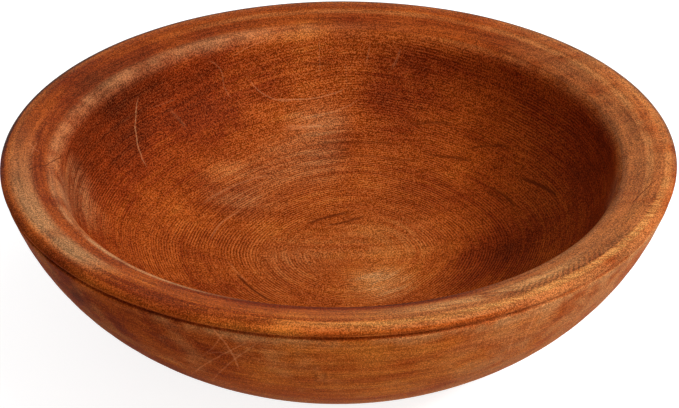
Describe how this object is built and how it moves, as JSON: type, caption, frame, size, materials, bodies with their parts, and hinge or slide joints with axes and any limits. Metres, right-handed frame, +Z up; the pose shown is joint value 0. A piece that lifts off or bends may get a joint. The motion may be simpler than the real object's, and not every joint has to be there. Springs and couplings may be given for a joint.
{
  "type": "dough bowl",
  "caption": "Wide wooden dough bowl turned from one block, with a rolled rim, a fine groove under the rim and a flat base",
  "frame": {"origin": "centre of the flat base, on the plane the bowl rests on", "axes": "+Z up along the turning axis, X along the grain, Y across the grain"},
  "size_m": [0.305, 0.305, 0.085],
  "materials": {
    "bowl_wood": "oiled satin red-brown hardwood with open pores"
  },
  "bodies": {
    "root": {"bowl": "bowl_wood"}
  },
  "joints": []
}
